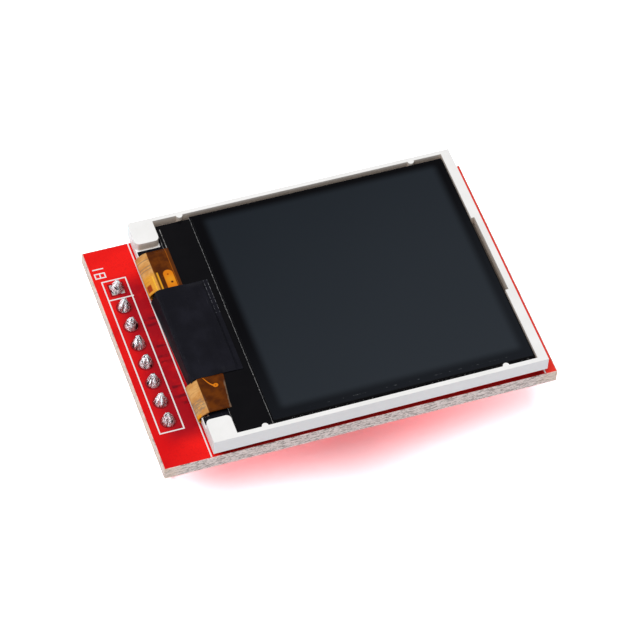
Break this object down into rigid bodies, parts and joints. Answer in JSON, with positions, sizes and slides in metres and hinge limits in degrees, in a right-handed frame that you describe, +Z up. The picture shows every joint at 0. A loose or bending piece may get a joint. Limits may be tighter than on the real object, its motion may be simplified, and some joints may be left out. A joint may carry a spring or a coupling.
{
  "type": "colour display module",
  "caption": "Small colour liquid crystal display in a white frame, stuck to a red carrier board with a row of header pins below one end.",
  "frame": {"origin": "middle of the header housing's mating face, half way along the row of pins", "axes": "+Z up through the display, +X along the board away from the header, +Y along the row of pins towards pin 1"},
  "size_m": [0.0423, 0.0298, 0.0124],
  "materials": {
    "laminate": "glass fibre laminate with a sawn edge",
    "solder_mask": "glossy red lacquer",
    "pad_metal": "tinned copper",
    "white_ink": "printed white ink",
    "header_plastic": "moulded black plastic",
    "pin_metal": "thin gold plating, tinned above the board",
    "solder": "bright solder",
    "foam": "closed cell foam with adhesive on both faces",
    "frame_plastic": "moulded white plastic, satin",
    "reflector_film": "silvered white film",
    "clear_plastic": "clear acrylic",
    "optical_film": "satin translucent film",
    "led_case": "white case with a yellow window",
    "strip_circuit": "amber polyimide",
    "black_tape": "thin black polyester tape, satin",
    "polariser": "dark grey polarising film, satin gloss",
    "display_glass": "thin glass with dark coatings",
    "polyimide": "amber polyimide over copper traces",
    "silicon": "polished silicon",
    "package_plastic": "moulded epoxy",
    "lead_metal": "matt tin plating",
    "resistor_body": "black glaze on white ceramic",
    "capacitor_body": "tan ceramic"
  },
  "bodies": {
    "root": {"circuit_board": "laminate", "solder_mask_top": "solder_mask", "solder_mask_bottom": "solder_mask", "copper_top": "pad_metal", "copper_bottom": "pad_metal", "silkscreen_top": "white_ink", "silkscreen_bottom": "white_ink", "header_housing": "header_plastic", "header_pin_1": "pin_metal", "header_pin_2": "pin_metal", "header_pin_3": "pin_metal", "header_pin_4": "pin_metal", "header_pin_5": "pin_metal", "header_pin_6": "pin_metal", "header_pin_7": "pin_metal", "header_pin_8": "pin_metal", "solder_joint_1": "solder", "solder_joint_2": "solder", "solder_joint_3": "solder", "solder_joint_4": "solder", "solder_joint_5": "solder", "solder_joint_6": "solder", "solder_joint_7": "solder", "solder_joint_8": "solder", "foam_tape": "foam", "display_frame": "frame_plastic", "reflector_sheet": "reflector_film", "light_guide": "clear_plastic", "diffuser_film": "optical_film", "lower_prism_film": "optical_film", "upper_prism_film": "optical_film", "led_strip": "strip_circuit", "backlight_led_1": "led_case", "backlight_led_2": "led_case", "backlight_led_3": "led_case", "rim_tape": "black_tape", "rear_polariser": "polariser", "transistor_glass": "display_glass", "filter_glass": "display_glass", "front_polariser": "polariser", "driver_chip": "silicon", "flexible_circuit": "polyimide", "flex_solder": "solder", "cover_tape": "black_tape", "regulator_body": "package_plastic", "regulator_leads": "lead_metal", "transistor_body": "package_plastic", "transistor_leads": "lead_metal", "resistor_1": "resistor_body", "resistor_2": "resistor_body", "resistor_3": "resistor_body", "capacitor_1": "capacitor_body", "capacitor_2": "capacitor_body", "capacitor_3": "capacitor_body"}
  },
  "joints": []
}
